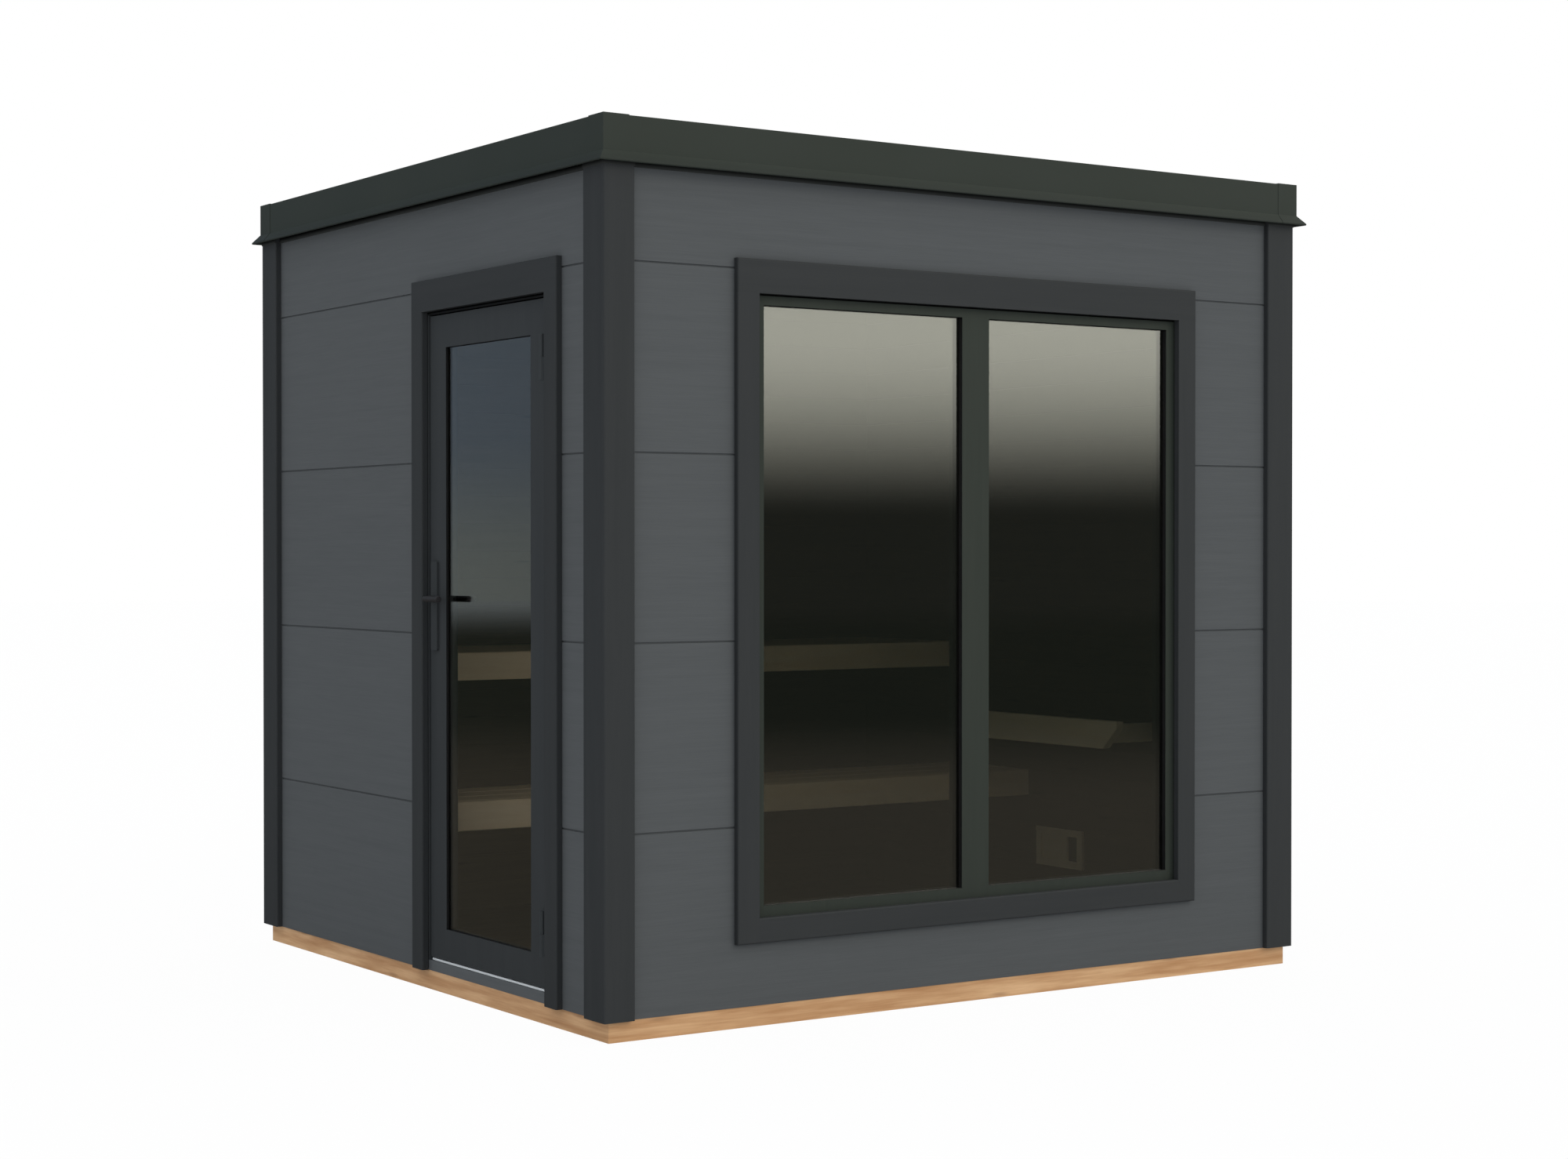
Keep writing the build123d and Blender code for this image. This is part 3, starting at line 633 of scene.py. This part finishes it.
# Small fittings: screws in hinge and handle plates, lock plate and strike, door seal, and laps in the membrane
fittings = {
    "screwRadius": 0.0042, "screwTop": 0.00315, "screwProud": 0.0012, "screwSides": 20,
    "hingeScrewEnd": 0.010, "handleScrewEnd": 0.014, "hingePlate": 0.003, "hingeHeight": 0.062,
    "hingeScrewIn": 0.0085, "lockBelow": 0.150, "lockAbove": 0.085, "lockHalf": 0.010, "lockProud": 0.0008,
    "latchRise": (0.030, 0.052), "latchHalf": 0.006, "latchProud": 0.0035, "strikeHalf": 0.013,
    "sealThick": 0.0025, "sealWide": 0.009, "sealIn": 0.002, "lapWide": 0.060, "lapThick": 0.0012, "lapAt": 0.40,
    "plateEase": 0.0003, "latchEase": 0.0008, "sealEase": 0.0009, "lapEase": 0.0005,
}


def screwInto(bm, place, outward):
    # A low screw head standing out along x
    bmesh.ops.create_cone(
        bm,
        cap_ends=True,
        segments=fittings["screwSides"],
        radius1=fittings["screwRadius"],
        radius2=fittings["screwTop"],
        depth=fittings["screwProud"],
        matrix=Matrix.Translation(place) @ Matrix.Rotation(outward * math.pi / 2, 4, "Y"),
    )


hingeLow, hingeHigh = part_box("hinge_leaf_halves")
faceX = leafLow.x - fittings["hingePlate"] - fittings["screwProud"] / 2
bm = bmesh.new()
for start in (hingeLow.z, hingeHigh.z - fittings["hingeHeight"]):
    end = start + fittings["hingeHeight"]
    for height in (start + fittings["hingeScrewEnd"], (start + end) / 2, end - fittings["hingeScrewEnd"]):
        screwInto(bm, (faceX, hingeHigh.y - fittings["hingeScrewIn"], height), -1)
finishPiece("hinge_screws", bm, hingeCoat, body="door")

plateLow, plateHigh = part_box("handle_plates")
leverLow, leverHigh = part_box("door_lever")
spindleY = (plateLow.y + plateHigh.y) / 2
spindleZ = (leverLow.z + leverHigh.z) / 2
bm = bmesh.new()
for height in (plateLow.z + fittings["handleScrewEnd"], plateHigh.z - fittings["handleScrewEnd"]):
    screwInto(bm, (plateHigh.x + fittings["screwProud"] / 2, spindleY, height), 1)
finishPiece("handle_screws", bm, plateCoat, body="door")

leafMiddle = (leafLow.x + leafHigh.x) / 2
lockLow, lockHigh = spindleZ - fittings["lockBelow"], spindleZ + fittings["lockAbove"]
bm = bmesh.new()
boardInto(
    bm,
    (leafMiddle - fittings["lockHalf"], leafHigh.y, lockLow),
    (leafMiddle + fittings["lockHalf"], leafHigh.y + fittings["lockProud"], lockHigh),
    fittings["plateEase"],
)
boardInto(
    bm,
    (leafMiddle - fittings["latchHalf"], leafHigh.y, spindleZ + fittings["latchRise"][0]),
    (leafMiddle + fittings["latchHalf"], leafHigh.y + fittings["latchProud"], spindleZ + fittings["latchRise"][1]),
    fittings["latchEase"],
)
finishPiece("lock_plate", bm, screwSteel, body="door")

jambY = stripHigh.y
bm = bmesh.new()
boardInto(
    bm,
    (leafMiddle - fittings["strikeHalf"], jambY - fittings["lockProud"], lockLow),
    (leafMiddle + fittings["strikeHalf"], jambY, lockHigh),
    fittings["plateEase"],
)
finishPiece("strike_plate", bm, screwSteel)

stopX = leafHigh.x + heads["leafGap"]
sealIn, sealOut = fittings["sealIn"], fittings["sealIn"] + fittings["sealWide"]
sealTop = innerTop - sealIn
bm = bmesh.new()
for lowY, highY, lowZ, highZ in (
    (stripLow.y + sealIn, stripLow.y + sealOut, stripHigh.z, sealTop),
    (stripHigh.y - sealOut, stripHigh.y - sealIn, stripHigh.z, sealTop),
    (stripLow.y + sealOut, stripHigh.y - sealOut, sealTop - fittings["sealWide"], sealTop),
):
    boardInto(bm, (stopX - fittings["sealThick"], lowY, lowZ), (stopX, highY, highZ), fittings["sealEase"])
finishPiece("door_seal", bm, gasketRubber)

roofLow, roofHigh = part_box("roof_membrane")
bm = bmesh.new()
for middle in (-fittings["lapAt"], fittings["lapAt"]):
    boardInto(
        bm,
        (middle - fittings["lapWide"] / 2, roofLow.y, roofHigh.z),
        (middle + fittings["lapWide"] / 2, roofHigh.y, roofHigh.z + fittings["lapThick"]),
        fittings["lapEase"],
    )
finishPiece("membrane_laps", bm, membraneRubber)
print("garden sauna: small fittings made")

# Inside: boards on walls, ceiling and floor, each with eased edges, and plain trim round the openings
lining = {
    "rows": 24, "thick": 0.004, "ease": 0.0012, "ceilingRows": 21, "floorRows": 17, "floorThick": 0.003,
    "floorEase": 0.0014, "trimWidth": 0.058, "trimThick": 0.012, "trimEase": 0.002,
    "leastStrip": 0.006, "leastRun": 0.01,
}
roomLow = Vector((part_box("left_wall_front")[1].x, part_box("front_wall")[1].y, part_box("floor_deck")[1].z))
roomHigh = Vector((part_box("right_wall")[0].x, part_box("back_wall")[0].y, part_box("roof_deck")[0].z))


def liningWall(name, along, face, inward, run, hole=None):
    # Rows of boards along one wall; a hole is (low along, high along, low z, high z)
    bm = bmesh.new()
    pitch = (roomHigh.z - roomLow.z) / lining["rows"]
    deep = sorted((face, face + inward * lining["thick"]))
    least = lining["leastStrip"]
    for row in range(lining["rows"]):
        lowZ = roomLow.z + row * pitch
        cuts = [lowZ, lowZ + pitch]
        if hole:
            cuts += [z for z in hole[2:] if lowZ + least < z < lowZ + pitch - least]
        cuts.sort()
        for start, end in zip(cuts, cuts[1:]):
            spans = [run]
            if hole and hole[2] - least < (start + end) / 2 < hole[3] + least:
                spans = [(run[0], hole[0]), (hole[1], run[1])]
            for spanLow, spanHigh in spans:
                if spanHigh - spanLow < lining["leastRun"]:
                    continue
                if along == "x":
                    boardInto(bm, (spanLow, deep[0], start), (spanHigh, deep[1], end), lining["ease"], 1)
                else:
                    boardInto(bm, (deep[0], spanLow, start), (deep[1], spanHigh, end), lining["ease"], 1)
    finishPiece(name, bm, liningWood)


windowLow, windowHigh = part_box("window_frame")
doorLow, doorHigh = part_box("door_frame")
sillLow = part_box("door_threshold")[0]
airLow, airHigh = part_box("air_vent")
runX = (roomLow.x, roomHigh.x)
runY = (roomLow.y, roomHigh.y)
liningWall("lining_back", "x", roomHigh.y, -1, runX)
liningWall("lining_front", "x", roomLow.y, 1, runX, (windowLow.x, windowHigh.x, windowLow.z, windowHigh.z))
liningWall("lining_left", "y", roomLow.x, 1, runY, (doorLow.y, doorHigh.y, sillLow.z, doorHigh.z))
liningWall("lining_right", "y", roomHigh.x, -1, runY, (airLow.y, airHigh.y, airLow.z, airHigh.z))

bm = bmesh.new()
pitch = (roomHigh.y - roomLow.y) / lining["ceilingRows"]
for row in range(lining["ceilingRows"]):
    lowY = roomLow.y + row * pitch
    boardInto(
        bm, (roomLow.x, lowY, roomHigh.z - lining["thick"]), (roomHigh.x, lowY + pitch, roomHigh.z), lining["ease"], 1,
    )
finishPiece("lining_ceiling", bm, ceilingWood)

bm = bmesh.new()
pitch = (roomHigh.y - roomLow.y) / lining["floorRows"]
for row in range(lining["floorRows"]):
    lowY = roomLow.y + row * pitch
    boardInto(
        bm,
        (roomLow.x, lowY, roomLow.z),
        (roomHigh.x, lowY + pitch, roomLow.z + lining["floorThick"]),
        lining["floorEase"],
        1,
    )
finishPiece("floor_boards", bm, floorWood)

trimWide, trimThick = lining["trimWidth"], lining["trimThick"]
bm = bmesh.new()
for lowX, highX, lowZ, highZ in (
    (windowLow.x - trimWide, windowLow.x, windowLow.z - trimWide, windowHigh.z),
    (windowHigh.x, windowHigh.x + trimWide, windowLow.z - trimWide, windowHigh.z),
    (windowLow.x - trimWide, windowHigh.x + trimWide, windowHigh.z, windowHigh.z + trimWide),
    (windowLow.x, windowHigh.x, windowLow.z - trimWide, windowLow.z),
):
    boardInto(bm, (lowX, roomLow.y, lowZ), (highX, roomLow.y + trimThick, highZ), lining["trimEase"])
finishPiece("window_inner_trim", bm, liningWood)

bm = bmesh.new()
for lowY, highY, lowZ, highZ in (
    (doorLow.y - trimWide, doorLow.y, roomLow.z, doorHigh.z),
    (doorHigh.y, doorHigh.y + trimWide, roomLow.z, doorHigh.z),
    (doorLow.y - trimWide, doorHigh.y + trimWide, doorHigh.z, doorHigh.z + trimWide),
):
    boardInto(bm, (roomLow.x, lowY, lowZ), (roomLow.x + trimThick, highY, highZ), lining["trimEase"])
finishPiece("door_inner_trim", bm, liningWood)
print("garden sauna: room lined")

# Benches, rebuilt with eased edges so that boards read as boards
bench = {
    "boardThick": 0.028, "slatThick": 0.026, "slatGap": 0.012, "ease": 0.003,
    "carrier": 0.045, "carriers": 3, "carrierEase": 0.002,
}


def buildBench(name, slats):
    low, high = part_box(name)
    thick = bench["boardThick"]
    bm = bmesh.new()
    boardInto(bm, low, (high.x, low.y + thick, high.z), bench["ease"])
    pitch = (high.y - low.y - thick) / slats
    for slat in range(slats):
        start = low.y + thick + slat * pitch + bench["slatGap"]
        boardInto(
            bm,
            (low.x, start, high.z - bench["slatThick"]),
            (high.x, start + pitch - bench["slatGap"], high.z),
            bench["ease"],
        )
    step = (high.x - low.x - bench["carrier"]) / (bench["carriers"] - 1)
    for carrier in range(bench["carriers"]):
        start = low.x + carrier * step
        boardInto(
            bm,
            (start, low.y + thick, low.z),
            (start + bench["carrier"], high.y, high.z - bench["slatThick"]),
            bench["carrierEase"],
        )
    finishPiece(name + "_boards", bm, benchWood, replaced=(name,))


buildBench("upper_bench", 4)
buildBench("lower_bench", 3)
print("garden sauna: benches made")

# Camera, floor and light
studio = {
    "cameraPlace": (-4.648, -7.0638, 1.2833),
    "cameraTurn": (89.373, 0.0, -33.796),
    "lens": 60.714,
    "sensor": 36.0,
    "clipEnd": 200.0,
    "sky": (0.93, 0.97, 1.02),
    "keyStrength": 0.55,
    "keyColour": (1.0, 0.92, 0.76),
    "keyTravel": (-0.35, 0.80, -0.50),
    "keySoftness": 32.0,
    "floorRadius": 60.0,
    "floorSides": 96,
    "floorDrop": 0.0005,
    "floorColour": (0.80, 0.80, 0.80),
    "floorWhite": 0.97,
    "reflectLow": (0.050, 0.054, 0.045),
    "reflectFront": (1.66, 1.66, 1.45),
    "reflectSide": (0.225, 0.28, 0.345),
    "reflectSideLow": (0.33, 0.37, 0.36),
    "paintedReflectNearFront": (0.114, 0.106, 0.086),
    "paintedReflectNearSide": (0.095, 0.088, 0.070),
    "paintedReflectMiddle": (0.038, 0.044, 0.035),
    "paintedReflectFarSide": (0.31, 0.35, 0.36),
    "turnRange": (-0.5, 0.5),
    "frontRise": (0.012, 0.085),
    "sideRise": (-0.015, 0.05),
    "sideLift": 0.11,
    "nearFade": (6.5, 14.0),
    "farFade": (30.0, 59.0),
}
cameraData = bpy.data.cameras.new("photoCamera")
cameraData.lens = studio["lens"]
cameraData.sensor_fit = "HORIZONTAL"
cameraData.sensor_width = studio["sensor"]
cameraData.clip_end = studio["clipEnd"]
camera = bpy.data.objects.new("photoCamera", cameraData)
camera.location = studio["cameraPlace"]
camera.rotation_euler = [math.radians(angle) for angle in studio["cameraTurn"]]
scene.collection.objects.link(camera)
scene.camera = camera

keyData = bpy.data.lights.new("softKey", "SUN")
keyData.energy = studio["keyStrength"]
keyData.color = studio["keyColour"]
keyData.angle = math.radians(studio["keySoftness"])
key = bpy.data.objects.new("softKey", keyData)
key.rotation_euler = Vector(studio["keyTravel"]).to_track_quat("-Z", "Y").to_euler()
scene.collection.objects.link(key)

# Sky: even light, white to the eye, and a plain soft rise for what gloss and glass show
world = bpy.data.worlds.new("studioSky")
world.use_nodes = True
scene.world = world
sky = world.node_tree
backing = sky.nodes["Background"]
path = addNode(sky, "ShaderNodeLightPath")
heading = addNode(sky, "ShaderNodeTexCoord")
height = addNode(sky, "ShaderNodeSeparateXYZ")
sky.links.new(heading.outputs["Generated"], height.inputs[0])
around = softStep(sky, height.outputs["Y"], *studio["turnRange"])
lifted = mathNode(sky, "MULTIPLY_ADD", around, studio["sideLift"], height.outputs["Z"])
rise = softStep(sky, lifted, *studio["frontRise"])
climb = softStep(sky, height.outputs["Z"], *studio["sideRise"])
side = mixColours(sky, climb, studio["reflectSideLow"], studio["reflectSide"])
above = mixColours(sky, around, studio["reflectFront"], side)
reflected = mixColours(sky, rise, studio["reflectLow"], above)
lit = mixColours(sky, plainMirror(sky, path), studio["sky"], reflected)
sky.links.new(mixColours(sky, path.outputs["Is Camera Ray"], lit, (1.0, 1.0, 1.0)), backing.inputs["Color"])
backing.inputs["Strength"].default_value = 1.0

# Floor: pale, white to the eye with the shadow kept faint; to gloss and glass it glows with a painted reflection of
# ground, warm grey near the building, dark further out, and a pale glow far off to the side
floorPaint, floorTree, floorShader = startMaterial("studioFloor", {"roughness": 0.9, "shine": 0.0})
floorShader.inputs["Base Color"].default_value = (*studio["floorColour"], 1.0)
floorPath = addNode(floorTree, "ShaderNodeLightPath")
white = addNode(floorTree, "ShaderNodeEmission")
white.inputs["Color"].default_value = (1.0, 1.0, 1.0, 1.0)
paintedReflection = addNode(floorTree, "ShaderNodeEmission")
spot = addNode(floorTree, "ShaderNodeSeparateXYZ")
floorTree.links.new(objectPlace(floorTree), spot.inputs[0])
away = addNode(floorTree, "ShaderNodeVectorMath", operation="LENGTH")
floorTree.links.new(objectPlace(floorTree), away.inputs[0])
acrossSpot = mathNode(floorTree, "SUBTRACT", spot.outputs["Y"], spot.outputs["X"])
turn = softStep(floorTree, acrossSpot, *studio["turnRange"])
nearFade = softStep(floorTree, away.outputs["Value"], *studio["nearFade"])
farFade = softStep(floorTree, away.outputs["Value"], *studio["farFade"])
near = mixColours(floorTree, turn, studio["paintedReflectNearFront"], studio["paintedReflectNearSide"])
far = mixColours(floorTree, turn, studio["reflectLow"], studio["paintedReflectFarSide"])
seen = mixColours(floorTree, farFade, mixColours(floorTree, nearFade, near, studio["paintedReflectMiddle"]), far)
floorTree.links.new(seen, paintedReflection.inputs["Color"])
asSeen = addNode(floorTree, "ShaderNodeMixShader")
floorTree.links.new(
    mathNode(floorTree, "MULTIPLY", floorPath.outputs["Is Camera Ray"], studio["floorWhite"]), asSeen.inputs[0],
)
asReflected = addNode(floorTree, "ShaderNodeMixShader")
floorTree.links.new(plainMirror(floorTree, floorPath), asReflected.inputs[0])
floorTree.links.new(floorShader.outputs[0], asReflected.inputs[1])
floorTree.links.new(paintedReflection.outputs[0], asReflected.inputs[2])
floorTree.links.new(asReflected.outputs[0], asSeen.inputs[1])
floorTree.links.new(white.outputs[0], asSeen.inputs[2])
floorTree.links.new(asSeen.outputs[0], floorTree.nodes["Material Output"].inputs["Surface"])
bm = bmesh.new()
bmesh.ops.create_circle(bm, cap_ends=True, radius=studio["floorRadius"], segments=studio["floorSides"])
bmesh.ops.translate(bm, vec=(0, 0, -studio["floorDrop"]), verts=bm.verts)
floorMesh = bpy.data.meshes.new("studioFloor")
bm.to_mesh(floorMesh)
bm.free()
floorMesh.materials.append(floorPaint)
floor = bpy.data.objects.new("studioFloor", floorMesh)
scene.collection.objects.link(floor)
print("garden sauna: camera, floor and light set")
